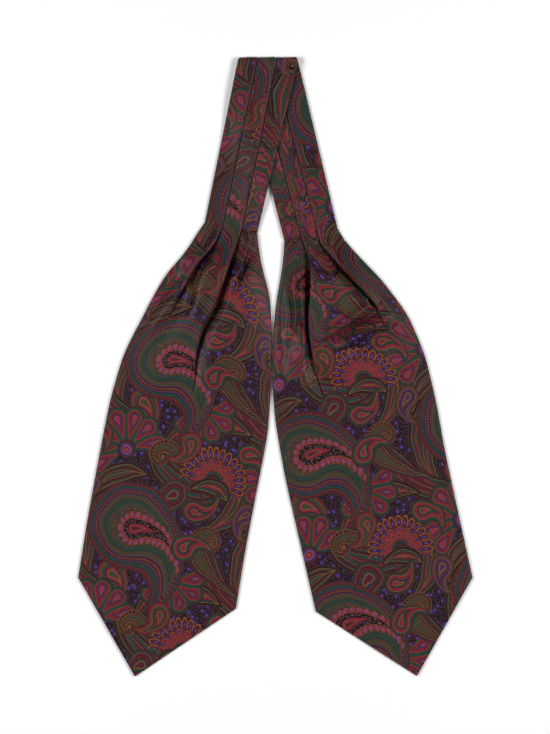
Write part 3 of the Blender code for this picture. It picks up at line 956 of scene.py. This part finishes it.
def leaf_bands(silk, outside, along):
    """Olive leaf with a teal band inside, and a dotted band and echo lines outside it."""
    echo = rings(outside, 16.0, [
        (0, PLUM), (0.8, INK), (1.3, WINE), (3.9, INK), (4.3, BRONZE), (4.8, PLUM), (5.8, INK),
        (6.2, TEAL), (8.2, INK), (8.7, BRONZE), (9.2, WINE), (11.0, INK), (11.4, BRONZE),
        (11.9, INK),
    ])
    body = rings(outside * -1.0, 30.0, [
        (0, BRONZE), (0.5, OLIVE), (2.2, BRONZE), (2.6, OLIVE), (4.8, INK), (5.2, TEAL),
        (8.6, GREEN), (9.4, BRONZE), (9.8, OLIVE), (15.0, WINE), (15.8, OLIVE),
    ])
    return [
        (echo, outside < 12.4),
        (GOLD, beads(along, outside - 2.6, 2.7, 0.65)),
        (CRIMSON, beads(along, outside - 10.1, 3.1, 0.6)),
        (body, outside < 0.0),
        (GREEN, beads(along, outside + 6.9, 4.2, 1.0)),
        (WINE, beads(along, outside + 3.6, 2.4, 0.5)),
        (silk.speck, (silk.near < 0.75) * (outside < -9.8)),
    ]


def scalloped_core(silk, outside, along):
    """Crimson boteh with rosettes along its scalloped rim, and a dark core with gold specks."""
    rosette = centred_repeat(along, 6.4)
    rim = outside + rosette * rosette * 0.34 - 1.6
    border = rings(rim * -1.0, 9.0, [(0, GOLD), (0.6, CRIMSON), (6.4, GOLD), (6.9, INK)])
    petal = length_of(rosette, outside + 1.6)
    centre = rings(petal, 4.0, [(0, ORANGE), (0.5, VIOLET), (1.2, GOLD), (1.6, RASPBERRY)])
    core = rings(outside * -1.0, 16.0, [
        (0, CRIMSON), (4.2, GOLD), (4.7, INK), (10.0, CRIMSON), (12.2, GOLD), (12.7, WINE),
    ])
    dark = (outside < -4.9) * (outside > -9.6)
    return [
        (INK, rim < 0.6),
        (border, rim < 0.0),
        (centre, petal < 2.5),
        (core, outside < -4.2),
        (GOLD, (silk.near < 0.62) * dark),
        (VIOLET, (silk.near < 0.3) * dark),
    ]


def great_boteh(silk, centre, turn, size):
    """The print's main motif: a broad olive leaf round a crimson boteh."""
    x, y = place(silk.cloth, centre, turn)
    leaf = drop(x, y, 27.0 * size, 66.0 * size, 2.0, 0.019 / size)
    core = drop(x - 3.0, y + 3.0, 13.5 * size, 52.0 * size, 1.6, 0.0175 / size)
    return leaf_bands(silk, *leaf) + scalloped_core(silk, *core)


def fan(silk, centre, turn, radius=34.0, petals=8, spread=210.0):
    """A palmette of two tiers of arched petals round a hub."""
    x, y = place(silk.cloth, centre, turn)
    reach = length_of(x, y) / radius
    angle = angle_of(x, y)
    pitch = math.radians(spread) / petals
    sector = abs(angle) < math.radians(spread / 2)
    backing = rings(reach, 1.2, [
        (0, GOLD), (0.05, WINE), (0.15, INK), (0.18, TEAL), (0.24, INK), (0.27, WINE),
        (0.40, INK), (0.42, PLUM), (0.62, WINE), (0.70, PLUM), (0.80, INK),
    ])
    tall = length_of(centred_repeat(angle, pitch / 2) * (3.7 / pitch), (reach - 0.76) / 0.24)
    outer = rings(tall, 1.2, [
        (0, VIOLET), (0.25, INK), (0.34, WINE), (0.72, GOLD), (0.86, ORANGE), (0.93, INK),
    ])
    arch = length_of(centred_repeat(angle, pitch) * (1.9 / pitch), (reach - 0.34) / 0.32)
    inner = rings(arch, 1.2, [
        (0, GOLD), (0.12, WINE), (0.3, GOLD), (0.36, RASPBERRY), (0.62, WINE), (0.68, CRIMSON),
        (0.88, GOLD), (0.95, INK),
    ])
    return [
        (backing, (reach < 0.92) * sector),
        (outer, (tall < 1.0) * (reach > 0.66) * sector),
        (inner, (arch < 1.0) * (reach > 0.26) * sector),
    ]


def scroll(silk, centre, turn, flip, radius, growth=0.22, tail=58.0, bend=0.007):
    """A curled strip with a roped edge, and its tail tapering to a point."""
    x, y = place(silk.cloth, centre, turn)
    y = y * flip
    reach = length_of(x, y)
    angle = angle_of(x, y)
    edge = maths("EXPONENT", angle * growth) * radius
    turns = maths("LOGARITHM", reach / edge, math.e) / (2 * math.pi * growth)
    share = maths("FRACT", turns)
    wound = maths("MINIMUM", share, 1.0 - share) * reach * (2 * math.pi * growth)
    wound = pick(reach < edge, wound, -9.0)
    mouth = radius * math.exp(math.pi * growth)
    throat = radius * math.exp(-math.pi * growth)
    middle = (y * y) * bend - (mouth + throat) / 2
    taper = (mouth - throat) / 2
    straight = (y * (1 / tail) + 1.0) * taper - abs(x - middle)
    straight = pick((y < 0.0) * (y > -tail), straight, -9.0)
    depth = maths("MAXIMUM", wound, straight)
    shades = rings(depth, 12.0, [
        (0, GOLD), (0.5, INK), (0.9, BRONZE), (3.0, GOLD), (3.4, INK), (3.8, OLIVE),
        (8.0, GREEN),
    ])
    echo = rings(depth + 4.0, 6.0, [(0, WINE), (2.4, INK), (3.0, TEAL)])
    along = pick(straight > wound, y, angle * radius)
    rope = sine(along * (2 * math.pi / 2.5)) > 0.1
    return [
        (echo, (depth > -4.0) * (y > -tail)),
        (shades, depth > 0.0),
        (INK, rope * (depth > 0.9) * (depth < 3.0)),
        (silk.speck, (silk.near < 0.5) * (depth > 3.8)),
    ]


def feather(silk, centre, turn, bend, half_length, half_width, flip=1.0,
            rim=TEAL, fill=CRIMSON, heart=GREEN):
    """A long leaf along an arc, with a midrib and slanting bars."""
    x, y = place(silk.cloth, centre, turn)
    y_arc = y * flip + bend
    reach = length_of(x, y_arc)
    across = abs(reach - bend)
    along = angle_of(y_arc, x) * bend
    share = along / half_length
    width = (share * share * -1.0 + 1.0) * (share * 0.25 + 0.9) * half_width
    depth = width - across
    ends = abs(share) < 1.0
    shades = rings(depth + 3.0, 14.0, [
        (0, INK), (0.5, BRONZE), (1.0, INK), (3.0, GOLD), (3.5, rim), (5.4, INK), (5.8, fill),
        (8.0, GOLD), (8.4, heart), (11.4, WINE),
    ])
    bars = sine((along + across * 1.4) * (2 * math.pi / 2.8)) > 0.5
    return [
        (shades, (depth > -3.0) * (abs(share) < 1.04)),
        (INK, bars * (depth > 2.8) * (depth < 5.0) * ends),
        (GOLD, (across < 0.3) * (depth > 0.0) * ends),
    ]


def spray(silk, centre, turn, petals=7, spread=230.0, inner=11.0, length=20.0,
          width=7.6):
    """A spray of drop-shaped petals round a point."""
    x, y = place(silk.cloth, centre, turn)
    reach = length_of(x, y)
    angle = angle_of(x, y)
    local = centred_repeat(angle, math.radians(spread) / petals)
    px = (reach * cosine(local) - (inner + length)) * -1.0
    py = abs(reach * sine(local))
    slope = (width - 1.0) / length
    square = math.sqrt(1 - slope**2)
    flank = py * square + px * slope - width
    run = px * square - py * slope
    outside = pick(run < 0, length_of(px, py) - width, flank)
    outside = pick(px > length, length_of(px - length, py) - 1.0, outside)
    sector = abs(angle) < math.radians(spread / 2)
    echo = rings(outside, 5.0, [(0, INK), (0.4, TEAL), (2.2, INK), (2.8, BRONZE), (3.2, INK)])
    fill = rings(outside * -1.0, 8.0, [
        (0, GOLD), (0.4, CRIMSON), (3.2, INK), (3.6, PLUM), (5.0, GOLD), (5.4, RASPBERRY),
    ])
    hub = rings(reach, 12.0, [
        (0, GOLD), (1.2, CRIMSON), (3.4, GOLD), (3.9, VIOLET), (5.2, INK), (5.8, BRONZE),
        (6.3, WINE), (8.0, INK),
    ])
    return [
        (echo, (outside < 3.6) * sector),
        (fill, (outside < 0.0) * sector),
        (INK, beads(run, outside + 1.8, 2.6, 0.6) * sector),
        (hub, reach < 8.6),
    ]


def small_boteh(silk, centre, turn, radius, length, flip=1.0,
                fill=CRIMSON, line=TEAL, heart=WINE):
    """A small boteh, curled at its tip, with an echo line round it."""
    x, y = place(silk.cloth, centre, turn)
    outside, along = drop(x, y * flip, radius, length, 0.8, 1.2 / length)
    shades = rings(outside + radius, radius + 4.0, [
        (0, fill), (radius * 0.26, GOLD), (radius * 0.34, line), (radius * 0.52, INK),
        (radius * 0.58, heart), (radius * 0.62, fill), (radius - 0.6, GOLD), (radius, INK),
        (radius + 0.4, line), (radius + 2.0, INK), (radius + 2.6, BRONZE), (radius + 3.1, INK),
    ])
    dots = beads(along, outside + radius * 0.22, 2.2, 0.45)
    return [(shades, outside < 3.5), (INK, dots)]


# One repeat of the print from its ground up: each motif, its centre, its turn and its form.
# A motif gives its layers, from its lowest up
MOTIFS = [
    (feather, (8, 50), 80, 70.0, 60.0, 12.0),
    (feather, (84, 112), -25, 60.0, 62.0, 13.0, -1.0, GREEN, WINE, TEAL),
    (feather, (150, 10), 140, 60.0, 54.0, 12.0, 1.0, TEAL, BRONZE, WINE),
    (feather, (100, 4), 20, 60.0, 50.0, 11.0, 1.0, GREEN, CRIMSON, OLIVE),
    (feather, (148, 98), 70, 50.0, 48.0, 10.0, -1.0),
    (feather, (22, 104), 35, 44.0, 34.0, 9.0, 1.0, OLIVE, WINE, GREEN),
    (small_boteh, (84, 98), 205, 12.0, 36.0, -1.0, WINE, TEAL, CRIMSON),
    (small_boteh, (38, 12), -15, 11.5, 36.0, 1.0, OLIVE, CRIMSON, PLUM),
    (spray, (30, 132), 120),
    (spray, (98, 16), -60, 5, 190.0, 9.0, 16.0, 6.5),
    (scroll, (128, 58), 30, 1.0, 12.0),
    (scroll, (66, 132), 250, -1.0, 9.0),
    (fan, (120, 118), 80),
    (feather, (121, 112), -10, 26.0, 21.0, 6.5, 1.0, TEAL, CRIMSON, WINE),
    (great_boteh, (48, 60), 20, 1.12),
    (small_boteh, (104, 48), 80, 9.0, 26.0),
    (small_boteh, (2, 92), 200, 8.0, 24.0, -1.0, PLUM, BRONZE, WINE),
    (small_boteh, (150, 150), 20, 8.5, 25.0),
    (small_boteh, (92, 150), 300, 8.0, 25.0, 1.0, OLIVE, CRIMSON, TEAL),
    (small_boteh, (108, 86), 330, 8.5, 26.0, -1.0, CRIMSON, GREEN, PLUM),
]


def paisley(flat):
    """The whole print: a socket with its colour, worked out from the cloth's own measures."""
    drift = noise(flat, DRIFT_SPACING, 1.0).outputs["Color"]
    cloth = vector_maths("MULTIPLY_ADD", drift, (DRIFT, DRIFT, 0), flat)
    silk = Silk(cloth, *specks(cloth, SPECK_SPACING))
    shade = ground(silk)
    for motif, centre, turn, *form in MOTIFS:
        shade = lay(shade, *motif(silk, centre, turn, *form))
    fine, beside = specks(cloth, FINE_SPECK_SPACING)
    return lay(shade, (fine, (beside < 0.45) * FINE_SPECK_STRENGTH))


def new_material(name):
    """A material, its node tree and its shader."""
    material = bpy.data.materials.new(name)
    material.use_nodes = True
    return material, material.node_tree, material.node_tree.nodes["Principled BSDF"]


def silk_material():
    """Printed silk twill: the print, a soft sheen, and a fine slanting weave."""
    material, tree, shader = new_material("printed_silk_twill")
    shader.inputs["Specular IOR Level"].default_value = 0.15
    shader.inputs["Sheen Weight"].default_value = 0.02
    shader.inputs["Sheen Roughness"].default_value = 0.35
    shader.inputs["Sheen Tint"].default_value = colour(190, 150, 130)
    uv = node(tree, "UVMap", uv_map="Cloth")
    inputs = {"Vector": uv.outputs[0], "Scale": 1 / MM}
    cloth = node(tree, "VectorMath", inputs, operation="SCALE").outputs[0]

    uneven = Value(noise(cloth, UNEVEN_SPACING, 2.0).outputs[0])
    fleck = Value(noise(cloth, FLECK_SPACING, 1.0).outputs[0])
    strength = (uneven + fleck) * DYE_SPREAD + DYE_LOWEST
    grey = node(tree, "CombineColor", {0: strength, 1: strength, 2: strength})
    inputs = {0: 1.0, 6: paisley(cloth), 7: grey.outputs[0]}
    dyed = node(tree, "Mix", inputs, data_type="RGBA", blend_type="MULTIPLY")
    feed(shader.inputs["Base Color"], dyed.outputs[2])
    feed(shader.inputs["Roughness"], uneven * ROUGHNESS_SPREAD + ROUGHNESS_LOWEST)

    x, y = parts_of(cloth)
    rib = sine((x + y) * (2 * math.pi / TWILL_PITCH))
    thread = sine((x - y) * (4 * math.pi / TWILL_PITCH))
    weave = rib * 0.5 + thread * 0.2 + fleck * 0.6
    bump = node(tree, "Bump", {"Strength": 0.35, "Distance": 0.00004, "Height": weave})
    feed(shader.inputs["Normal"], bump.outputs[0])
    return material


def thread_material():
    """Sewing thread, dark red, with a twist."""
    material, tree, shader = new_material("sewing_thread")
    inputs = {"Vector": node(tree, "TexCoord").outputs["Object"], "Scale": 900.0}
    twist = node(tree, "TexWave", inputs, bands_direction="DIAGONAL")
    inputs = {0: twist.outputs["Fac"], 6: colour(42, 14, 20), 7: colour(80, 32, 36)}
    feed(shader.inputs["Base Color"], node(tree, "Mix", inputs, data_type="RGBA").outputs[2])
    shader.inputs["Roughness"].default_value = 0.5
    return material


def seam_stitches(half):
    """Short hand stitches that hold the inner stripe to its blade, just below the seam."""
    begin = half.pleats[1][0].offset + STITCH_CLEARANCE
    finish = half.outline[0].inner - EDGE_ROLL - STITCH_CLEARANCE
    count = int((finish - begin) / STITCH_PITCH)
    lean = half.side * math.radians(half.lean)
    share = np.linspace(-1, 1, STITCH_RINGS)
    arch = np.sqrt(np.clip(1 - share**2, STITCH_END_ROUND, 1))
    angle = np.linspace(0, 2 * math.pi, STITCH_SIDES + 1)[:-1]
    across = STITCH_RADIUS * np.outer(arch, np.cos(angle))
    along = np.full(STITCH_RINGS, STITCH_DOWN)
    vertices, faces = [], []
    for k in range(count):
        offset = begin + (k + 0.5) * (finish - begin) / count + STITCH_LENGTH * share / 2
        x, y = row_frame(half, along, offset)
        z = panel_top(half, along, offset, 2) + STITCH_RADIUS * (1.4 * arch - 0.9)
        x = x[:, None] - across * math.sin(lean)
        y = y[:, None] + across * math.cos(lean)
        z = z[:, None] + STITCH_RADIUS * np.outer(arch, np.sin(angle))
        first = len(vertices)
        vertices += (np.stack([x, y, z], axis=2).reshape(-1, 3) * MM).tolist()
        rings_of = first + np.arange(STITCH_RINGS * STITCH_SIDES).reshape(STITCH_RINGS, -1)
        following = np.roll(rings_of, -1, axis=1)
        sides = [rings_of[:-1], following[:-1], following[1:], rings_of[1:]]
        faces += np.stack(sides, axis=2).reshape(-1, 4).tolist()
        faces += [rings_of[0, ::-1].tolist(), rings_of[-1].tolist()]
    if half.side > 0:
        faces = [face[::-1] for face in faces]
    mesh = bpy.data.meshes.new(f"{half.name}_seam_stitches")
    mesh.from_pydata(vertices, [], faces)
    mesh.shade_smooth()
    piece = linked(mesh, THREAD)
    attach(piece, "root")


def soft_light(name, place, size, power):
    """A square soft light that faces the middle of the cravat."""
    data = bpy.data.lights.new(name, "AREA")
    data.shape = "SQUARE"
    data.size = size
    data.energy = power
    light = bpy.data.objects.new(name, data)
    light.location = place
    light.rotation_euler = (-Vector(place)).to_track_quat("-Z", "Y").to_euler()
    bpy.context.scene.collection.objects.link(light)


def studio():
    """White floor, soft light from both sides under a dim ceiling, and the camera overhead."""
    material, _, shader = new_material("floor_white")
    shader.inputs["Base Color"].default_value = (0.94, 0.94, 0.94, 1.0)
    shader.inputs["Roughness"].default_value = 1.0
    shader.inputs["Specular IOR Level"].default_value = 0.0
    bpy.ops.mesh.primitive_plane_add(size=FLOOR_SIZE, location=(0, 0, -FLOOR_CLEARANCE))
    floor = bpy.context.object
    floor.name = "floor"
    floor.data.materials.append(material)

    scene = bpy.context.scene
    scene.world = bpy.data.worlds.new("studio")
    scene.world.use_nodes = True
    background = scene.world.node_tree.nodes["Background"]
    background.inputs[0].default_value = (WALL_LIGHT, WALL_LIGHT, WALL_LIGHT, 1.0)
    for number, place in enumerate(KEY_LIGHTS):
        soft_light(f"light_key_{number}", place, KEY_LIGHT_SIZE, KEY_LIGHT_POWER)
    soft_light("light_top", TOP_LIGHT_PLACE, TOP_LIGHT_SIZE, TOP_LIGHT_POWER)

    data = bpy.data.cameras.new("camera")
    data.sensor_width = SENSOR
    data.lens = SENSOR * CAMERA_HEIGHT / (PHOTO_HEIGHT_PX * MM_PER_PX * MM)
    camera = bpy.data.objects.new("camera", data)
    camera.location = (0, 0, CAMERA_HEIGHT)
    scene.collection.objects.link(camera)
    scene.camera = camera
    scene.view_settings.view_transform = "Standard"


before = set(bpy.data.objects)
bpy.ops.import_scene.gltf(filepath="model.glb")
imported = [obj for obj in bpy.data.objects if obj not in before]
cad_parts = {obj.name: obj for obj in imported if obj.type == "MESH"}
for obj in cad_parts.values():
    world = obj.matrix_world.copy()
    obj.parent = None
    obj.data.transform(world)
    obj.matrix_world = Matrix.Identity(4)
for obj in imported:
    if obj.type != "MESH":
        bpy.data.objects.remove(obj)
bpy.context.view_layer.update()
SILK = silk_material()
THREAD = thread_material()
for half in (LEFT, RIGHT):
    blade_back(half)
    neckband(half, blade_front(half))
    seam_stitches(half)
studio()
